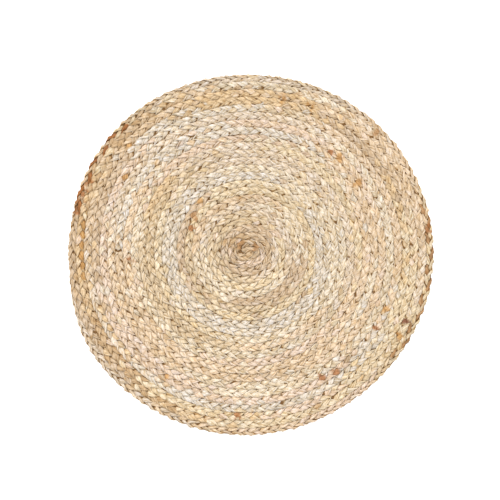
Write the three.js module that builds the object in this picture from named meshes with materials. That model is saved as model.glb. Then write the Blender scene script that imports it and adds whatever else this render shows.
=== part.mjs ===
import * as THREE from 'three';

// A round placemat of corn husk. One long three-strand plait is coiled flat, from a short fold in the
// middle out to a tail on the rim, and its turns are sewn edge to edge into one piece.
// Millimetres, +Z up. The underside lies on Z = 0, and the middle of the mat's box is at X = Y = 0.

// Driving dimensions
const innerPlaitWidth = 7.75;
const outerPlaitWidth = 8.17;
const plaitThickness = 5;
const seamDepth = 1.5;
const turns = 23.89;
const lobesToWidth = 1.32;
const lobeScallop = 0.4;
const tailTip = THREE.MathUtils.degToRad(183);
const tailTurns = 0.09;

// The fold in the middle makes the inner turns wider along X, and it dies away over foldFade.
const foldReach = 8.5;
const foldFade = 14.4;

// The coil's own centre, measured from the middle of the mat's box, wanders a little on its way out.
const innerCentre = new THREE.Vector2(-3.24, 3.11);
const outerCentre = new THREE.Vector2(-2.99, 3.03);

// Slow waves that keep the rim from being a true circle, full on the rim and fading inwards
const rimWaves = [
  { count: 2, height: 2.27, peak: THREE.MathUtils.degToRad(2) },
  { count: 3, height: 0.99, peak: THREE.MathUtils.degToRad(13.6) },
  { count: 5, height: 0.5, peak: THREE.MathUtils.degToRad(-12.8) },
];

// Slow rise and fall of the crest along the plait, in cycles a turn
const crestWaves = [
  { cycles: 1.37, height: 0.14 },
  { cycles: 4.71, height: 0.1 },
];

// The rounded outside of the last turn, from its top edge down to the flat underside
const rimProfile = [
  { inset: 1.1, height: 4.1, scallop: 0.6 },
  { inset: 0, height: 2.5, scallop: 1 },
  { inset: 0.6, height: 0.9, scallop: 0.7 },
  { inset: 2.3, height: 0, scallop: 0 },
];

// How finely the lines are stepped, and where they begin around the middle, in turns
const fewestStepsPerTurn = 10;
const crestStart = 0.5;
const crestSplit = 0.9;
const seamSplit = 0.4;

const fullTurn = 2 * Math.PI;
const seamHeight = plaitThickness - seamDepth;
const rimStart = turns - 1;
const rimRadius = reachOf(turns + 0.5);

// Radius that a number of turns of plait fill. The plait widens slowly from the middle to the tail.
function reachOf(count) {
  const widening = (outerPlaitWidth - innerPlaitWidth) / (turns + 0.5);
  return count * (innerPlaitWidth + widening * count / 2);
}

function plaitWidth(turn) {
  return reachOf(turn + 0.5) - reachOf(turn - 0.5);
}

// Share of the plait's full width that is left at a point along the coil, 1 but for the tail
function widthShare(turn) {
  const alongTail = (turn - (turns - tailTurns)) / tailTurns;
  return 1 - THREE.MathUtils.smoothstep(alongTail, 0, 1);
}

// Radius of the plait's outer edge, which is the seam to the next turn or else the rim
function edgeRadius(turn) {
  return reachOf(turn + 0.5) - plaitWidth(turn) * (1 - widthShare(turn));
}

function crestRadius(turn) {
  return (edgeRadius(turn) + edgeRadius(turn - 1)) / 2;
}

function crestHeight(turn) {
  const sway = crestWaves.reduce(
    (sum, wave) => sum + wave.height * Math.sin(fullTurn * wave.cycles * turn), 0);
  return seamHeight + (seamDepth + sway) * widthShare(turn);
}

// The coil runs outwards clockwise, seen from above. A point is placed by how many turns it lies from
// the middle, its radius before the coil is pushed out of round, and its height.
function coilPoint(turn, radius, height) {
  const angle = tailTip + fullTurn * (turns - turn);
  const reach = radius / rimRadius;
  const swell = rimWaves.reduce(
    (sum, wave) => sum + wave.height * Math.cos(wave.count * (angle - wave.peak)), 0);
  const outward = radius + swell * reach * reach;
  const fold = foldReach * Math.exp(-radius / foldFade);
  return new THREE.Vector3(
    THREE.MathUtils.lerp(innerCentre.x, outerCentre.x, reach) + (outward + fold) * Math.cos(angle),
    THREE.MathUtils.lerp(innerCentre.y, outerCentre.y, reach) + outward * Math.sin(angle),
    height,
  );
}

// Places along the coil from one turn count to another, a share of one lobe of the plait apart
function stepsAlong(from, to, lobeShare, radiusAt) {
  const places = [from];
  let turn = from;
  while (turn < to) {
    const stepLength = lobeShare * lobesToWidth * plaitWidth(turn);
    const step = Math.min(stepLength / (fullTurn * radiusAt(turn)), 1 / fewestStepsPerTurn);
    turn += step;
    if (turn < to - step / 2) {
      places.push(turn);
    }
  }
  return places;
}

class Surface {
  points = [];
  faces = [];

  add(point) {
    this.points.push(point);
    return this.points.length - 1;
  }

  // Joins two lines that run the same way round, stepping along whichever lags behind. The inner
  // line's turn counts are behind the outer line's by the lag.
  joinLines(inner, outer, lag) {
    let i = 0;
    let j = 0;
    while (i < inner.length - 1 || j < outer.length - 1) {
      const nextInner = i < inner.length - 1 ? inner[i + 1].turn + lag : Infinity;
      const nextOuter = j < outer.length - 1 ? outer[j + 1].turn : Infinity;
      if (nextInner <= nextOuter) {
        this.faces.push(inner[i].index, inner[i + 1].index, outer[j].index);
        i += 1;
      } else {
        this.faces.push(inner[i].index, outer[j + 1].index, outer[j].index);
        j += 1;
      }
    }
  }

  joinLoops(upper, lower) {
    upper.forEach((corner, i) => {
      const next = (i + 1) % upper.length;
      this.faces.push(corner, upper[next], lower[i]);
      this.faces.push(upper[next], lower[next], lower[i]);
    });
  }

  fillFan(centre, loop) {
    loop.forEach((corner, i) => {
      this.faces.push(centre, loop[(i + 1) % loop.length], corner);
    });
  }

  geometry() {
    const geometry = new THREE.BufferGeometry().setFromPoints(this.points);
    geometry.setIndex(this.faces);
    geometry.computeVertexNormals();
    return geometry;
  }
}

function coiledPlaitGeometry() {
  const surface = new Surface();

  // Crest of the plait, from the middle to just short of the tail's tip
  const crest = [
    ...stepsAlong(crestStart, crestSplit, 1, crestRadius),
    ...stepsAlong(crestSplit, turns, 1, crestRadius),
  ].map((turn) => ({
    turn,
    index: surface.add(coilPoint(turn, crestRadius(turn), crestHeight(turn))),
  }));

  // Sunken seam between one turn and the next, up to the tail's tip, where the rim begins
  const seam = [
    ...stepsAlong(0, seamSplit, 1, edgeRadius),
    ...stepsAlong(seamSplit, rimStart, 1, edgeRadius),
    rimStart,
  ].map((turn) => ({
    turn,
    index: surface.add(coilPoint(turn, edgeRadius(turn), seamHeight)),
  }));
  const tip = seam[seam.length - 1];

  // Rim, stepped at half lobes so that each lobe of the plait bulges from it
  const rimPlaces = stepsAlong(rimStart, turns, 0.5, edgeRadius);
  function rimRow(row) {
    return rimPlaces.map((turn, i) => {
      const share = widthShare(turn);
      const bulge = row.scallop * lobeScallop * (i % 2 ? 1 : -1);
      const radius = edgeRadius(turn) + (bulge - row.inset) * share;
      const height = Math.min(row.height, crestHeight(turn));
      return { turn, index: surface.add(coilPoint(turn, radius, height)) };
    });
  }
  const [topProfile, ...lowerProfile] = rimProfile;
  const rimTop = [tip, ...rimRow(topProfile).slice(1)];

  surface.joinLines(seam, crest.filter((place) => place.turn >= crestSplit), 1);
  surface.joinLines(
    crest,
    [...seam.filter((place) => place.turn >= seamSplit), ...rimTop.slice(1), { ...tip, turn: turns }],
    0,
  );

  // The start of the plait fills the middle as a low dome
  const middle = surface.add(coilPoint(0, 0, plaitThickness));
  surface.fillFan(middle, [
    ...seam.filter((place) => place.turn <= seamSplit),
    ...crest.filter((place) => place.turn <= crestSplit),
  ].map((place) => place.index));

  // Wall of the rim and flat underside
  let upper = rimTop.map((place) => place.index);
  for (const row of lowerProfile) {
    const lower = rimRow(row).map((place) => place.index);
    surface.joinLoops(upper, lower);
    upper = lower;
  }
  const underneath = surface.add(new THREE.Vector3(0, 0, 0));
  surface.fillFan(underneath, upper.toReversed());
  return surface.geometry();
}

const huskFinish = new THREE.MeshStandardMaterial({ color: 0xdcc49a, roughness: 0.75, metalness: 0 });

const placemat = new THREE.Mesh(coiledPlaitGeometry(), huskFinish);
placemat.name = 'plait_mat';

const group = new THREE.Group();
group.add(placemat);

export default group;
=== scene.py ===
import bmesh
import bpy
import math
import numpy as np
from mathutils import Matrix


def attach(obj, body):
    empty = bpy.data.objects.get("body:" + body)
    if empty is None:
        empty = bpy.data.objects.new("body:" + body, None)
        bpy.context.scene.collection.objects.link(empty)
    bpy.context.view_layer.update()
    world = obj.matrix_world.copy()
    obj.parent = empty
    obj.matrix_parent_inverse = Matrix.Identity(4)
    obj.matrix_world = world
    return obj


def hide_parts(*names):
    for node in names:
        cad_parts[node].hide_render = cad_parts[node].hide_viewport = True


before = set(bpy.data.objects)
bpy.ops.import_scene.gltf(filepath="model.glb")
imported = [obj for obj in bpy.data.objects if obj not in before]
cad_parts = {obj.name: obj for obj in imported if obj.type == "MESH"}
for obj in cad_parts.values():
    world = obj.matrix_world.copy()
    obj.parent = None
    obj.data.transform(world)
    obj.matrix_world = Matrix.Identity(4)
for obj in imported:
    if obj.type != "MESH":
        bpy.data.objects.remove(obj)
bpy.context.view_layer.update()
dice = np.random.default_rng(38)
fullTurn = 2 * math.pi


def smoothStep(value, low=0, high=1):  # 0 below low, 1 above high and a soft S between them
    along = np.clip((value - low) / (high - low), 0, 1)
    return along * along * (3 - 2 * along)


# The coil, as in the part's source but in metres: a spiral that runs outwards clockwise seen from above
coil = {
    "innerWidth": 0.00775,  # width of the plait at the middle, and at the rim below
    "outerWidth": 0.00817,
    "turns": 23.89,
    "tailTip": math.radians(183),
    "tailTurns": 0.09,  # the plait narrows to nothing over this last part of a turn
    "foldReach": 0.0085,  # the fold in the middle stretches the inner turns along X
    "foldFade": 0.0144,
    "innerCentre": (-0.00324, 0.00311),
    "outerCentre": (-0.00299, 0.00303),
    "rimWaves": [
        {"count": 2, "height": 0.00227, "peak": math.radians(2)},
        {"count": 3, "height": 0.00099, "peak": math.radians(13.6)},
        {"count": 5, "height": 0.0005, "peak": math.radians(-12.8)},
    ],
}


def reachOf(count):  # radius that a number of turns fill
    widening = (coil["outerWidth"] - coil["innerWidth"]) / (coil["turns"] + 0.5)
    return count * (coil["innerWidth"] + widening * count / 2)


def plaitWidth(turn):
    return reachOf(turn + 0.5) - reachOf(turn - 0.5)


def widthShare(turn):  # share of the full width that is left, 1 but for the tail
    return 1 - smoothStep(turn, coil["turns"] - coil["tailTurns"], coil["turns"])


def edgeRadius(turn):  # outer edge of the plait
    return reachOf(turn + 0.5) - plaitWidth(turn) * (1 - widthShare(turn))


def midRadius(turn):
    return (edgeRadius(turn) + edgeRadius(turn - 1)) / 2


rimRadius = reachOf(coil["turns"] + 0.5)


def coilPoints(turn, radius, height):
    angle = coil["tailTip"] + fullTurn * (coil["turns"] - turn)
    reach = radius / rimRadius
    swell = sum(w["height"] * np.cos(w["count"] * (angle - w["peak"])) for w in coil["rimWaves"])
    outward = radius + swell * reach**2
    fold = coil["foldReach"] * np.exp(-np.maximum(radius, 0) / coil["foldFade"])
    (innerX, innerY), (outerX, outerY) = coil["innerCentre"], coil["outerCentre"]
    x = innerX + (outerX - innerX) * reach + (outward + fold) * np.cos(angle)
    y = innerY + (outerY - innerY) * reach + outward * np.sin(angle)
    return np.stack([x, y, np.broadcast_to(height, x.shape)], axis=-1)


# The plait: three flat strands that swing from edge to edge, each one over and then under the others
plait = {
    "startTurn": 0.02,
    "joinTurn": 16.9,  # the inner and outer piece of each strand meet here
    "strandShort": 0.01,  # the strands end this part of a turn before the tip of the tail
    "layShort": 0.004,  # and their course is laid out up to here
    "laySteps": 60000,
    "lobesToWidth": 1.32,  # length of one lobe for each width of the plait
    "lowest": 0.00002,
    "midHeight": 0.0025,
    "topHeight": 0.0052,
    "swing": 0.345,  # how far a strand's middle swings to each side, in plait widths
    "hurry": 0.1,  # a strand runs out faster below than it comes back in on top
    "rise": 0.0011,
    "riseLeft": 0.55,  # share of the rise, and of the thickness, where the plait is drawn in to nothing
    "thickLeft": 0.5,
    "tailLeft": 0.02,  # share of the width at the tip of the tail
    "lean": 0.0004,  # the inner edge of each turn is tucked lower than its outer edge
    "roll": 1.6,  # how sharply the strand rolls over at the plait's edges
    "flatHalf": 0.36,  # half width of a strand where it lies flat, in plait widths
    "edgeHalf": 0.26,  # and where it turns on the plait's edge
    "flatThick": 0.00084,  # half thickness, flat and at the edge
    "edgeThick": 0.00112,
    "edgePower": 4,  # the higher, the shorter the turn on the edge
    "ringsPerBeat": 26,  # cross sections in one full swing of a strand
    "corners": 14,
    "girth": 0.0125,  # way round a strand, for its UV map
    "flatness": 0.5,  # 1 is an oval section, less has flatter faces
    "crease": 0.17,
    "creaseRings": 6,  # cross sections from one bend of a fold to the next
    "ridge": 0.17,
    "foldWide": 0.3,  # how much the folds change the width and the thickness
    "foldThick": 1.5,
    "coreTurns": 5,  # the first turns are creased more sharply
    "coreCrease": 0.8,
    "startShare": 0.72,  # the plait's start is drawn in
    "startTurns": 0.35,
}
# Along the rim the lobes stand more apart, and each outer one ends in a tooth
rim = {
    "turns": 1.05,
    "fade": 0.1,
    "slim": 0.24,
    "hurry": 0.16,
    "swing": 0.12,
    "tooth": 0.21,  # how far the rim steps in after each outer lobe, in plait widths
    "toothAt": 0.88,  # where the step lies in each lobe's run
    "toothDrop": 0.3,  # share of the run in which it steps in
    "toothAcross": (1 / 12, 1 / 2),  # from where to where across the plait the tooth grows, in plait widths
    "gapShadow": 1.2,  # how dark the painted shadow in the gap beside the step is
    "gapAt": 0.45,
    "gapSlant": 1.35,
    "gapWide": 0.2,
    "gapAcross": (0.12, 0.32),
    "openAcross": (0.375, 0.5),  # the rim's outer side lies open to the light
}
# How much a strand wanders along its way, as a share where no unit is named
uneven = {
    "drift": 0.16,  # radians of its swing
    "swing": 0.07,
    "rise": 0.12,
    "height": 0.00013,  # metres
    "tilt": 0.17,  # radians
    "halfWide": 0.09,
    "halfThick": 0.09,
}


def layPlait():  # length and beat of the plait along the coil
    turn = np.linspace(plait["startTurn"], coil["turns"] - plait["layShort"], plait["laySteps"])
    middle = coilPoints(turn, midRadius(turn), 0.0)
    step = np.linalg.norm(np.diff(middle, axis=0), axis=1)
    length = np.concatenate([[0], np.cumsum(step)])
    lobe = plait["lobesToWidth"] * plaitWidth(turn[1:])
    beat = np.concatenate([[0], np.cumsum(step / (3 * lobe))]) * fullTurn
    return {"turn": turn, "length": length, "beat": beat}


lay = layPlait()
print("plait length", round(lay["length"][-1], 2), "m")


def wobble(count, every, size):  # smooth random curve with a knot at every few places
    knots = dice.normal(0, size, count // every + 3)
    places = np.arange(count) / every
    low = np.floor(places).astype(int)
    share = smoothStep(places - low)
    return knots[low] * (1 - share) + knots[low + 1] * share


def blend(low, high, share):
    return low + (high - low) * share


def drawnIn(turn):  # narrow at the start and down to nothing at the tail
    start = blend(plait["startShare"], 1, smoothStep(turn, 0, plait["startTurns"]))
    return start * np.maximum(widthShare(turn), plait["tailLeft"])


def nearRim(turn):
    rimStart = coil["turns"] - rim["turns"]
    return smoothStep(turn, rimStart, rimStart + rim["fade"])


def rimTeeth(turn, across):  # the outer lobes of the last turn end in teeth, with painted shadow in the gap beside each
    outward = across / plaitWidth(turn)
    atRim = nearRim(turn)
    run = np.interp(turn, lay["turn"], lay["beat"]) / (fullTurn / 3) - rim["toothAt"]
    share = run % 1
    drop = rim["toothDrop"]
    stepIn = np.where(share < drop, smoothStep(share / drop), (1 - share) / (1 - drop))
    tooth = rim["tooth"] * plaitWidth(turn) * stepIn * smoothStep(outward, *rim["toothAcross"]) * atRim
    # painted shadow in the gap beside each tooth
    slant = (run - rim["gapAt"] - (0.5 - outward) * rim["gapSlant"] + 0.5) % 1 - 0.5
    gapShadow = rim["gapShadow"] * np.exp(-(slant / rim["gapWide"]) ** 2)
    gapShadow *= smoothStep(outward, *rim["gapAcross"]) * atRim
    lit = smoothStep(outward, *rim["openAcross"]) * atRim
    return {"tooth": tooth, "gapShadow": np.minimum(gapShadow, 1), "open": lit}


def strandRings(strand, fromTurn, toTurn):
    fromBeat, toBeat = np.interp([fromTurn, toTurn], lay["turn"], lay["beat"])
    step = fullTurn / plait["ringsPerBeat"]
    beat = np.arange(math.ceil(fromBeat / step), math.floor(toBeat / step)) * step
    phase = beat + strand * fullTurn / 3
    count = len(beat)
    quarter = plait["ringsPerBeat"] // 4  # cross sections in a quarter of a swing

    length = np.interp(beat, lay["beat"], lay["length"])
    turn = np.interp(beat, lay["beat"], lay["turn"])
    width = plaitWidth(turn)
    shrink = drawnIn(turn)
    atRim = nearRim(turn)

    # the swing across, the rise over and under, and how they change along the strand
    drift = wobble(count, quarter, uneven["drift"])
    beatNow = phase + drift - (plait["hurry"] + rim["hurry"] * atRim) * np.cos(2 * phase)
    swing = plait["swing"] * (1 + rim["swing"] * atRim) * width * shrink
    swing *= 1 + wobble(count, quarter, uneven["swing"])
    rise = plait["rise"] * blend(plait["riseLeft"], 1, shrink) * (1 + wobble(count, quarter, uneven["rise"]))
    across = swing * np.sin(beatNow)
    up = -rise * np.sin(2 * beatNow) + wobble(count, quarter, uneven["height"])
    stride = np.gradient(length)
    tangent = np.stack([np.ones(count), np.gradient(across) / stride, np.gradient(up) / stride], axis=-1)
    tangent /= np.linalg.norm(tangent, axis=1, keepdims=True)

    # the flat of the strand faces out at one edge, up on top, in at the other edge and down below
    rollBy = np.tanh(-plait["roll"] * np.cos(phase)) / math.tanh(plait["roll"])
    tilt = rollBy * math.pi / 2 + wobble(count, quarter, uneven["tilt"])
    normal = np.stack([np.zeros(count), np.cos(tilt), np.sin(tilt)], axis=-1)
    normal -= (normal * tangent).sum(1, keepdims=True) * tangent
    normal /= np.linalg.norm(normal, axis=1, keepdims=True)
    side = np.cross(tangent, normal)

    atEdge = np.sin(phase) ** plait["edgePower"]
    halfWide = blend(plait["flatHalf"], plait["edgeHalf"], atEdge) * width * shrink
    halfWide *= (1 - rim["slim"] * atRim) * (1 + wobble(count, quarter, uneven["halfWide"]))
    halfThick = blend(plait["flatThick"], plait["edgeThick"], atEdge) * blend(plait["thickLeft"], 1, shrink)
    halfThick *= 1 + wobble(count, quarter, uneven["halfThick"])

    # lengthwise folds of the husk: each corner of the section wanders in and out
    corners = plait["corners"]
    around = (np.arange(corners) + 0.5) / corners * fullTurn
    folds = [wobble(count, plait["creaseRings"], plait["crease"]) for _ in range(corners)]
    folds = np.stack(folds, axis=-1) + plait["ridge"] * (-1.0) ** np.arange(corners)
    folds *= 1 + plait["coreCrease"] * (1 - smoothStep(turn, 0, plait["coreTurns"]))[:, None]
    wide = np.cos(around)[None, :] * halfWide[:, None] * (1 + plait["foldWide"] * folds)
    flatFace = np.sign(np.sin(around)) * np.abs(np.sin(around)) ** plait["flatness"]
    thick = flatFace[None, :] * halfThick[:, None] * (1 + plait["foldThick"] * folds)
    offsets = side[:, None, :] * wide[..., None] + normal[:, None, :] * thick[..., None]

    # laid along the coil, with lift 0 deep in a gap and 1 on the face; the lower the lift, the more painted
    # shade
    acrossPoints = across[:, None] + offsets[..., 1]
    heightPoints = plait["midHeight"] + up[:, None] + offsets[..., 2]
    turnPoints = np.interp(length[:, None] + offsets[..., 0], lay["length"], lay["turn"])
    heightPoints += plait["lean"] * acrossPoints / (plaitWidth(turnPoints) / 2)
    lift = np.abs(heightPoints - plait["midHeight"]) / plait["midHeight"]
    teeth = rimTeeth(turnPoints, acrossPoints)
    acrossPoints -= teeth["tooth"]
    # the rim's open side loses its painted shade, and the gap beside each tooth gets painted shadow
    lift = np.maximum(lift, teeth["open"]) * (1 - teeth["gapShadow"])
    points = coilPoints(turnPoints, midRadius(turnPoints) + acrossPoints, heightPoints)
    points[..., 2] = np.clip(points[..., 2], plait["lowest"], plait["topHeight"])
    return {"points": points, "turn": turn, "phase": phase, "length": length, "folds": folds, "lift": lift}


# Husk tints as they look in full light, sRGB 0 to 255
husks = {
    "white": (234, 220, 200),
    "cream": (241, 223, 195),
    "peach": (240, 214, 181),
    "pink": (238, 213, 187),
    "grey": (236, 216, 190),
    "straw": (238, 216, 180),
    "gold": (233, 203, 160),
    "tan": (228, 200, 164),
    "ochre": (210, 162, 98),
    "olive": (228, 204, 168),
    "taupe": (219, 193, 161),
    "brown": (212, 179, 136),
    "umber": (192, 148, 100),
    "rust": (176, 114, 54),
    "darkRust": (128, 62, 18),
}
# Husks were plaited in as they came to hand, so the tint goes by batches, each up to a turn of the coil
batches = [
    {"to": 0.99, "husk": "tan"}, {"to": 1.11, "husk": "brown"}, {"to": 1.39, "husk": "taupe"},
    {"to": 1.9, "husk": "pink"}, {"to": 2.12, "husk": "brown"}, {"to": 2.5, "husk": "tan"},
    {"to": 3.3, "husk": "taupe"}, {"to": 3.6, "husk": "grey"}, {"to": 4.2, "husk": "olive"},
    {"to": 4.3, "husk": "pink"}, {"to": 4.8, "husk": "straw"}, {"to": 5.2, "husk": "olive"},
    {"to": 5.5, "husk": "grey"}, {"to": 5.9, "husk": "cream"}, {"to": 6.2, "husk": "grey"},
    {"to": 6.4, "husk": "cream"}, {"to": 6.72, "husk": "taupe"}, {"to": 6.9, "husk": "cream"},
    {"to": 7.24, "husk": "peach"}, {"to": 7.4, "husk": "cream"}, {"to": 7.6, "husk": "taupe"},
    {"to": 7.98, "husk": "olive"}, {"to": 8.84, "husk": "straw"}, {"to": 9.07, "husk": "taupe"},
    {"to": 9.26, "husk": "straw"}, {"to": 10.2, "husk": "white"}, {"to": 10.4, "husk": "cream"},
    {"to": 11.1, "husk": "white"}, {"to": 11.7, "husk": "cream"}, {"to": 12.0, "husk": "straw"},
    {"to": 12.3, "husk": "grey"}, {"to": 12.5, "husk": "cream"}, {"to": 12.64, "husk": "peach"},
    {"to": 13.04, "husk": "olive"}, {"to": 13.5, "husk": "grey"}, {"to": 13.7, "husk": "cream"},
    {"to": 13.94, "husk": "olive"}, {"to": 14.04, "husk": "gold"}, {"to": 14.17, "husk": "grey"},
    {"to": 14.4, "husk": "straw"}, {"to": 14.5, "husk": "peach"}, {"to": 14.7, "husk": "pink"},
    {"to": 15.0, "husk": "cream"}, {"to": 15.2, "husk": "pink"}, {"to": 15.3, "husk": "cream"},
    {"to": 16.0, "husk": "peach"}, {"to": 16.25, "husk": "white"}, {"to": 16.4, "husk": "peach"},
    {"to": 16.5, "husk": "cream"}, {"to": 16.9, "husk": "peach"}, {"to": 17.1, "husk": "white"},
    {"to": 17.25, "husk": "pink"}, {"to": 17.55, "husk": "peach"}, {"to": 17.7, "husk": "cream"},
    {"to": 17.9, "husk": "peach"}, {"to": 18.25, "husk": "grey"}, {"to": 18.65, "husk": "cream"},
    {"to": 19.0, "husk": "pink"}, {"to": 19.15, "husk": "white"}, {"to": 19.21, "husk": "olive"},
    {"to": 19.48, "husk": "peach"}, {"to": 19.54, "husk": "white"}, {"to": 19.84, "husk": "pink"},
    {"to": 20.0, "husk": "taupe"}, {"to": 20.1, "husk": "white"}, {"to": 20.25, "husk": "gold"},
    {"to": 20.32, "husk": "taupe"}, {"to": 20.38, "husk": "gold"}, {"to": 20.5, "husk": "straw"},
    {"to": 20.68, "husk": "white"}, {"to": 20.8, "husk": "white"}, {"to": 20.9, "husk": "grey"},
    {"to": 21.1, "husk": "tan"}, {"to": 21.2, "husk": "gold"}, {"to": 21.4, "husk": "peach"},
    {"to": 21.55, "husk": "straw"}, {"to": 21.62, "husk": "pink"}, {"to": 21.75, "husk": "straw"},
    {"to": 21.85, "husk": "brown"}, {"to": 21.95, "husk": "gold"}, {"to": 22.0, "husk": "brown"},
    {"to": 22.1, "husk": "tan"}, {"to": 22.25, "husk": "cream"}, {"to": 22.4, "husk": "peach"},
    {"to": 22.46, "husk": "grey"}, {"to": 22.69, "husk": "straw"}, {"to": 22.75, "husk": "gold"},
    {"to": 22.8, "husk": "brown"}, {"to": 22.92, "husk": "taupe"}, {"to": 22.99, "husk": "tan"},
    {"to": 23.04, "husk": "straw"}, {"to": 23.25, "husk": "grey"}, {"to": 23.36, "husk": "peach"},
    {"to": 23.5, "husk": "straw"}, {"to": 23.54, "husk": "olive"}, {"to": 23.62, "husk": "pink"},
    {"to": 23.74, "husk": "peach"}, {"to": 24.0, "husk": "grey"},
]
# Stains and single dark lobes as seen in the photograph, in metres from the middle of the mat. A stain is
# full up to half its reach and then fades.
stains = [
    {"x": 0.160, "y": -0.068, "reach": 0.005, "husk": "darkRust"},
    {"x": 0.155, "y": -0.084, "reach": 0.005, "husk": "ochre"},
    {"x": 0.140, "y": -0.057, "reach": 0.005, "husk": "ochre"},
    {"x": 0.129, "y": -0.075, "reach": 0.004, "husk": "rust"},
    {"x": 0.088, "y": -0.121, "reach": 0.0055, "husk": "rust"},
    {"x": 0.073, "y": -0.127, "reach": 0.005, "husk": "rust"},
    {"x": 0.002, "y": -0.166, "reach": 0.006, "husk": "gold"},
    {"x": -0.014, "y": -0.168, "reach": 0.005, "husk": "rust"},
    {"x": -0.088, "y": -0.128, "reach": 0.004, "husk": "ochre"},
    {"x": -0.126, "y": -0.006, "reach": 0.005, "husk": "rust"},
    {"x": -0.181, "y": 0.046, "reach": 0.006, "husk": "rust"},
    {"x": -0.178, "y": 0.054, "reach": 0.007, "husk": "rust"},
    {"x": -0.173, "y": 0.064, "reach": 0.006, "husk": "rust"},
    {"x": -0.168, "y": 0.075, "reach": 0.006, "husk": "rust"},
    {"x": -0.131, "y": 0.081, "reach": 0.0045, "husk": "ochre"},
    {"x": -0.125, "y": 0.114, "reach": 0.005, "husk": "ochre"},
    {"x": -0.061, "y": 0.027, "reach": 0.0045, "husk": "rust"},
    {"x": -0.058, "y": 0.040, "reach": 0.006, "husk": "umber"},
    {"x": -0.054, "y": 0.056, "reach": 0.005, "husk": "ochre"},
    {"x": -0.011, "y": 0.010, "reach": 0.006, "husk": "umber"},
    {"x": 0.005, "y": 0.008, "reach": 0.005, "husk": "umber"},
    {"x": 0.032, "y": 0.162, "reach": 0.006, "husk": "ochre"},
    {"x": 0.061, "y": 0.154, "reach": 0.006, "husk": "ochre"},
    {"x": 0.082, "y": 0.106, "reach": 0.004, "husk": "rust"},
    {"x": 0.092, "y": 0.101, "reach": 0.006, "husk": "ochre"},
    {"x": 0.111, "y": 0.075, "reach": 0.006, "husk": "ochre"},
    {"x": 0.131, "y": 0.127, "reach": 0.005, "husk": "umber"},
    {"x": 0.186, "y": 0.028, "reach": 0.007, "husk": "rust"},
]
# Runs in which only one of the three strands, or one half of the plait, is of another husk
runs = [
    {"strand": 1, "from": 22.93, "to": 23.03, "husk": "rust"},
    {"strand": 1, "from": 23.35, "to": 23.5, "husk": "umber"},
    {"half": "inner", "from": 21.87, "to": 21.93, "husk": "ochre"},
    {"half": "inner", "from": 20.78, "to": 20.84, "husk": "gold"},
]
shades = {
    "fullLight": 1.5,  # how much brighter than its own tint a face in full light looks
    "strandRun": (4, 22),  # quarter swings for which a strand keeps its own shade
    "strandShade": 0.028,
    "lobeShade": 0.024,
    "warmthShade": 0.014,
    "warmthTint": (1, 0, -2.2),  # warmer is more red and less blue
    "brightest": 1.025,
    "depth": (1.7, 2.1, 2.9),  # a darker lobe is a warmer one too
    "balance": (0.967, 1.005, 1.095),  # evens out the warmth that depth adds
    "lobeStart": 0.15,  # radians past the plait's edge at which a lobe begins
    "leadTurns": 0.03,  # a strand's new husk starts a little before or after the others
    "strayShare": 0.1,  # lobes that take the tint of a batch near by
    "strayReach": 2,
    "stainShare": 0.9,
}
topQuarters = {1: "outer", 3: "inner"}  # quarter swings in which a strand lies on top, and their half


def toLinear(colour):
    value = np.asarray(colour, dtype=float) / 255
    return np.where(value <= 0.04045, value / 12.92, ((value + 0.055) / 1.055) ** 2.4)


def strandTints(rings, strand):  # one tint for each quarter swing of the strand
    quarter = np.floor((rings["phase"] - shades["lobeStart"]) / (math.pi / 2)).astype(int)
    ends = [b["to"] for b in batches]
    tints = np.zeros((len(quarter), 3))
    shade, runLeft, lead = 1, 0, 0
    for lobe in range(quarter[0], quarter[-1] + 1):
        rows = np.flatnonzero(quarter == lobe)
        turn = rings["turn"][rows[len(rows) // 2]]
        if runLeft == 0:
            runLeft = int(dice.integers(*shades["strandRun"]))
            shade = 1 + dice.normal(0, shades["strandShade"])
            lead = dice.normal(0, shades["leadTurns"])
        runLeft -= 1
        at = int(np.searchsorted(ends, turn + lead))
        if dice.random() < shades["strayShare"]:
            at += int(dice.integers(-shades["strayReach"], shades["strayReach"] + 1))
        husk = batches[int(np.clip(at, 0, len(batches) - 1))]["husk"]
        half = topQuarters.get(lobe % 4)
        for run in runs:
            here = run["from"] < turn < run["to"]
            if here and run.get("strand", strand) == strand and run.get("half", half) == half:
                husk = run["husk"]
        own = min(shade * (1 + dice.normal(0, shades["lobeShade"])), shades["brightest"])
        warmth = 1 + dice.normal(0, shades["warmthShade"]) * np.array(shades["warmthTint"])
        own = own ** np.array(shades["depth"]) * warmth * np.array(shades["balance"]) / shades["fullLight"]
        tints[rows] = toLinear(husks[husk]) * own

    # the stains, on the lobes that lie on top there
    middles = rings["points"].mean(axis=1)[:, :2]
    onTop = quarter % 2 == 1
    for stain in stains:
        away = np.linalg.norm(middles - (stain["x"], stain["y"]), axis=1) / stain["reach"]
        share = shades["stainShare"] * (1 - smoothStep(away, 0.5, 1)) * onTop
        tints += (toLinear(husks[stain["husk"]]) / shades["fullLight"] - tints) * share[:, None]
    return tints


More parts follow.
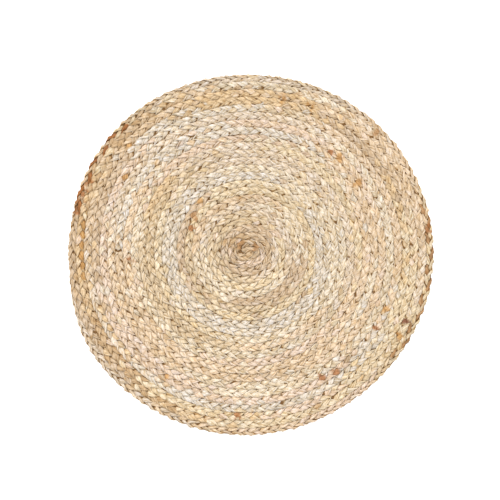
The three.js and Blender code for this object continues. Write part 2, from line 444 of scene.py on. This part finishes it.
def strandMesh(name, rings, strand):
    points = rings["points"]
    count, corners = points.shape[:2]
    tints = strandTints(rings, strand)

    # both ends close in a point
    verts = np.concatenate([points.reshape(-1, 3), [points[0].mean(axis=0), points[-1].mean(axis=0)]])
    firstTip, lastTip = count * corners, count * corners + 1
    ring = np.arange(count - 1)[:, None] * corners
    corner = np.arange(corners)
    nextCorner = (corner + 1) % corners
    sides = [ring + corner, ring + corners + corner, ring + corners + nextCorner, ring + nextCorner]
    quads = np.stack(sides, axis=-1).reshape(-1, 4)
    lastRing = (count - 1) * corners
    firstCap = np.stack([np.full(corners, firstTip), corner, nextCorner], axis=-1)
    lastCap = np.stack([np.full(corners, lastTip), lastRing + nextCorner, lastRing + corner], axis=-1)

    loops = np.concatenate([quads.ravel(), firstCap.ravel(), lastCap.ravel()]).astype(np.int32)
    sizes = np.concatenate([np.full(len(quads), 4), np.full(2 * corners, 3)])
    starts = np.concatenate([[0], np.cumsum(sizes)[:-1]]).astype(np.int32)
    mesh = bpy.data.meshes.new(name)
    mesh.vertices.add(len(verts))
    mesh.vertices.foreach_set("co", verts.astype(np.float32).ravel())
    mesh.loops.add(len(loops))
    mesh.loops.foreach_set("vertex_index", loops)
    mesh.polygons.add(len(sizes))
    mesh.polygons.foreach_set("loop_start", starts)
    mesh.update(calc_edges=True)

    # the UV map is in metres, along and around the strand
    along = np.broadcast_to(rings["length"][:, None], (count, corners))
    u = np.stack([along[:-1], along[1:], along[1:], along[:-1]], axis=-1).ravel()
    step = plait["girth"] / corners
    low = np.broadcast_to(corner * step, (count - 1, corners))
    v = np.stack([low, low, low + step, low + step], axis=-1).ravel()
    capU = np.repeat([along[0, 0], along[-1, 0]], 3 * corners)
    uv = np.stack([np.concatenate([u, capU]), np.concatenate([v, np.zeros(len(capU))])], axis=-1)
    layer = mesh.uv_layers.new(name="strand")
    layer.data.foreach_set("uv", uv.astype(np.float32).ravel())

    # husk holds the tint and, as its alpha, the lift out of the gaps, which sets how much painted shade a
    # place gets
    lift = np.clip(rings["lift"], 0, 1)
    tint = np.broadcast_to(tints[:, None, :], (count, corners, 3))
    colour = np.concatenate([tint, lift[..., None]], axis=-1).reshape(-1, 4)
    colour = np.concatenate([colour, colour[:1], colour[-1:]])
    attribute = mesh.color_attributes.new(name="husk", type="FLOAT_COLOR", domain="POINT")
    attribute.data.foreach_set("color", colour.astype(np.float32).ravel())
    # fold holds each corner's fold, which the material turns into painted shade in the valleys
    fold = mesh.attributes.new(name="fold", type="FLOAT", domain="POINT")
    fold.data.foreach_set("value", np.concatenate([rings["folds"].ravel(), [0, 0]]).astype(np.float32))
    mesh.polygons.foreach_set("use_smooth", np.ones(len(sizes), dtype=bool))
    mesh.validate()
    return mesh


# The husk's surface: noises along and across the strand, and ramps as places with their shade; the gap and
# fold ramps paint shade
finish = {
    "roughness": 0.6,
    "gloss": 0.3,
    "veins": {"scale": (210, 780, 1), "detail": 3},
    "veinRamp": [(0.37, (0.72, 0.62, 0.46)), (0.58, (1, 1, 1))],
    "wrinkles": {"scale": (850, 850, 1), "detail": 2, "spread": (0.35, 0.65), "shade": (0.86, 1.06)},
    "blotches": {"scale": (380, 420, 1), "detail": 1, "spread": (0.35, 0.65), "shade": (0.88, 1.04)},
    "fibres": {"scale": (130, 2400, 1), "detail": 2, "spread": (0.3, 0.7), "shade": (0.84, 1.08)},
    # noise patches in the painted shade of the gaps
    "gapShadePatches": {"scale": (150, 150, 1), "detail": 1, "spread": (0.35, 0.65), "shade": (-0.08, 0.1)},
    # painted shade down in the gaps, set by the lift
    "gapShadeRamp": [(0.06, (0.31, 0.19, 0.05)), (0.22, (0.87, 0.745, 0.53)), (0.42, (1, 1, 1))],
    # the folds taken to 0 to 1, and painted shade in their valleys
    "foldSpread": (-0.5, 0.5),
    "foldShadeRamp": [(0.12, (0.73, 0.64, 0.47)), (0.55, (1, 1, 1))],
    "noiseRoughness": 0.6,
    "bump": 0.6,
    "bumpDepth": 0.0004,
}


def multiplied(nodes, links, base, share):  # the colour base times a grey or coloured share
    mix = nodes.new("ShaderNodeMix")
    mix.data_type = "RGBA"
    mix.blend_type = "MULTIPLY"
    mix.inputs["Factor"].default_value = 1
    links.new(base, mix.inputs["A"])
    links.new(share, mix.inputs["B"])
    return mix.outputs["Result"]


def added(nodes, links, first, second):
    total = nodes.new("ShaderNodeMath")
    total.operation = "ADD"
    links.new(first, total.inputs[0])
    links.new(second, total.inputs[1])
    return total.outputs["Value"]


def ranged(nodes, links, value, spread, shade):
    mapping = nodes.new("ShaderNodeMapRange")
    mapping.inputs["From Min"].default_value, mapping.inputs["From Max"].default_value = spread
    mapping.inputs["To Min"].default_value, mapping.inputs["To Max"].default_value = shade
    links.new(value, mapping.inputs["Value"])
    return mapping.outputs["Result"]


def ramped(nodes, links, value, stops):  # stops are places with their colour, from low to high
    ramp = nodes.new("ShaderNodeValToRGB")
    elements = ramp.color_ramp.elements
    elements[0].position, elements[1].position = stops[0][0], stops[-1][0]
    elements[0].color, elements[1].color = (*stops[0][1], 1), (*stops[-1][1], 1)
    for place, colour in stops[1:-1]:
        elements.new(place).color = (*colour, 1)
    links.new(value, ramp.inputs["Fac"])
    return ramp.outputs["Color"]


def stretchedNoise(nodes, links, place, kind):
    stretch = nodes.new("ShaderNodeMapping")
    stretch.inputs["Scale"].default_value = kind["scale"]
    links.new(place, stretch.inputs["Vector"])
    noise = nodes.new("ShaderNodeTexNoise")
    noise.inputs["Scale"].default_value = 1.0
    noise.inputs["Detail"].default_value = kind["detail"]
    noise.inputs["Roughness"].default_value = finish["noiseRoughness"]
    links.new(stretch.outputs["Vector"], noise.inputs["Vector"])
    return noise.outputs["Fac"]


def huskMaterial():
    material = bpy.data.materials.new("driedHusk")
    material.use_nodes = True
    nodes, links = material.node_tree.nodes, material.node_tree.links
    shader = nodes["Principled BSDF"]
    shader.inputs["Roughness"].default_value = finish["roughness"]
    shader.inputs["Specular IOR Level"].default_value = finish["gloss"]
    husk = nodes.new("ShaderNodeAttribute")
    husk.attribute_name = "husk"
    fold = nodes.new("ShaderNodeAttribute")
    fold.attribute_name = "fold"
    uv = nodes.new("ShaderNodeUVMap")
    uv.uv_map = "strand"
    noise = {kind: stretchedNoise(nodes, links, uv.outputs["UV"], finish[kind])
             for kind in ("veins", "wrinkles", "blotches", "fibres", "gapShadePatches")}

    def shadeOf(kind):
        return ranged(nodes, links, noise[kind], finish[kind]["spread"], finish[kind]["shade"])

    # painted shade, dark only down in the gaps, with noise patches in it
    lift = added(nodes, links, husk.outputs["Alpha"], shadeOf("gapShadePatches"))
    # painted shade in the valleys of the lengthwise folds
    foldShade = ranged(nodes, links, fold.outputs["Fac"], finish["foldSpread"], (0, 1))
    colour = multiplied(nodes, links, husk.outputs["Color"], ramped(nodes, links, lift, finish["gapShadeRamp"]))
    colour = multiplied(nodes, links, colour, ramped(nodes, links, noise["veins"], finish["veinRamp"]))
    colour = multiplied(nodes, links, colour, ramped(nodes, links, foldShade, finish["foldShadeRamp"]))
    for kind in ("wrinkles", "blotches", "fibres"):
        colour = multiplied(nodes, links, colour, shadeOf(kind))
    links.new(colour, shader.inputs["Base Color"])
    bump = nodes.new("ShaderNodeBump")
    bump.inputs["Strength"].default_value = finish["bump"]
    bump.inputs["Distance"].default_value = finish["bumpDepth"]
    links.new(added(nodes, links, noise["veins"], noise["fibres"]), bump.inputs["Height"])
    links.new(bump.outputs["Normal"], shader.inputs["Normal"])
    return material


huskSurface = huskMaterial()
strandHalves = [
    {"name": "inner", "fromTurn": plait["startTurn"], "toTurn": plait["joinTurn"]},
    {"name": "outer", "fromTurn": plait["joinTurn"], "toTurn": coil["turns"] - plait["strandShort"]},
]
for strand, letter in enumerate("ABC"):
    for half in strandHalves:
        name = "strand_" + letter + "_" + half["name"]
        mesh = strandMesh(name, strandRings(strand, half["fromTurn"], half["toTurn"]), strand)
        mesh.materials.append(huskSurface)
        piece = bpy.data.objects.new(name, mesh)
        bpy.context.collection.objects.link(piece)
        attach(piece, "root")
        print("made", name, len(mesh.loops) - 2 * len(mesh.polygons), "triangles")


# The deep inside of the plait, which closes the small gaps between the lobes. It is the solid's own coil,
# pressed thin. Its dark brown is painted shade, the darkness down in those gaps.
shadedDeepHusk = {
    "flatten": 0.26,  # share of the height that is left
    "inset": 0.994,  # it ends inside the rim
    "weld": 0.000005,
    "area": 0.1127,
    # dark brown painted shade of the gaps, mottled darker in places
    "tint": (104, 70, 22),
    "darker": 0.6,
    "mottle": 700,
    "mottleDetail": 3,
    "mottleSpread": (0.35, 0.65),
    "roughness": 0.8,
}


def shadedDeepHuskMaterial():
    material = bpy.data.materials.new("shadedDeepHusk")
    material.use_nodes = True
    nodes, links = material.node_tree.nodes, material.node_tree.links
    shader = nodes["Principled BSDF"]
    shader.inputs["Roughness"].default_value = shadedDeepHusk["roughness"]
    place = nodes.new("ShaderNodeTexCoord")
    mottle = nodes.new("ShaderNodeTexNoise")
    mottle.inputs["Scale"].default_value = shadedDeepHusk["mottle"]
    mottle.inputs["Detail"].default_value = shadedDeepHusk["mottleDetail"]
    links.new(place.outputs["Object"], mottle.inputs["Vector"])
    light = toLinear(shadedDeepHusk["tint"])
    low, high = shadedDeepHusk["mottleSpread"]
    tint = ramped(nodes, links, mottle.outputs["Fac"], [(low, light * shadedDeepHusk["darker"]), (high, light)])
    links.new(tint, shader.inputs["Base Color"])
    return material


def shadedDeepHuskPiece():
    bm = bmesh.new()
    bm.from_mesh(bpy.data.objects["plait_mat"].data)
    bmesh.ops.remove_doubles(bm, verts=bm.verts, dist=shadedDeepHusk["weld"])
    low = min(v.co.z for v in bm.verts)
    bmesh.ops.translate(bm, verts=bm.verts, vec=(0, 0, -low - plait["midHeight"]))
    bmesh.ops.scale(bm, verts=bm.verts, vec=(shadedDeepHusk["inset"], shadedDeepHusk["inset"], shadedDeepHusk["flatten"]))
    bmesh.ops.translate(bm, verts=bm.verts, vec=(0, 0, plait["midHeight"]))
    mesh = bpy.data.meshes.new("deep_husk_shade")
    bm.to_mesh(mesh)
    bm.free()
    mesh.materials.append(shadedDeepHuskMaterial())
    piece = bpy.data.objects.new("deep_husk_shade", mesh)
    bpy.context.collection.objects.link(piece)
    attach(piece, "root")
    print("made deep_husk_shade", len(mesh.polygons), "faces")
    return piece


deepPiece = shadedDeepHuskPiece()
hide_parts("plait_mat")

# Floor, light and camera, in metres
room = {
    "floorHalf": 4.0,
    "paper": (0.95, 0.95, 0.95),
    "paperRoughness": 0.9,
    "skyLight": 1.88,
    "sunLight": 2.1,
    "sunSpread": math.radians(50),
    "sunTilt": (math.radians(-48), math.radians(-20), 0),
}
camera = {
    "lens": 85,  # millimetres, as the sensor is
    "sensor": 36,
    "pixels": 500,
    "pixelSize": 0.0010386,  # on the mat's face
    "middle": (-0.00116, 0.00506),
    "height": 0.005,
}

bm = bmesh.new()
bmesh.ops.create_grid(bm, x_segments=1, y_segments=1, size=room["floorHalf"])
floorMesh = bpy.data.meshes.new("floor")
bm.to_mesh(floorMesh)
bm.free()
floor = bpy.data.objects.new("floor", floorMesh)
bpy.context.collection.objects.link(floor)
paper = bpy.data.materials.new("whitePaper")
paper.use_nodes = True
paperShader = paper.node_tree.nodes["Principled BSDF"]
paperShader.inputs["Base Color"].default_value = (*room["paper"], 1)
paperShader.inputs["Roughness"].default_value = room["paperRoughness"]
floorMesh.materials.append(paper)

world = bpy.data.worlds.new("room")
bpy.context.scene.world = world
world.use_nodes = True
world.node_tree.nodes["Background"].inputs["Color"].default_value = (1, 1, 1, 1)
world.node_tree.nodes["Background"].inputs["Strength"].default_value = room["skyLight"]

lamp = bpy.data.lights.new("window", "SUN")
lamp.energy = room["sunLight"]
lamp.angle = room["sunSpread"]
lampObject = bpy.data.objects.new("window", lamp)
lampObject.rotation_euler = room["sunTilt"]
bpy.context.collection.objects.link(lampObject)

lens = bpy.data.cameras.new("above")
lens.lens = camera["lens"]
lens.sensor_width = camera["sensor"]
viewer = bpy.data.objects.new("above", lens)
distance = camera["pixels"] * camera["pixelSize"] * camera["lens"] / camera["sensor"]
viewer.location = (*camera["middle"], camera["height"] + distance)
bpy.context.collection.objects.link(viewer)
bpy.context.scene.camera = viewer
bpy.context.scene.view_settings.view_transform = "Standard"
print("set the floor, the light and the camera")
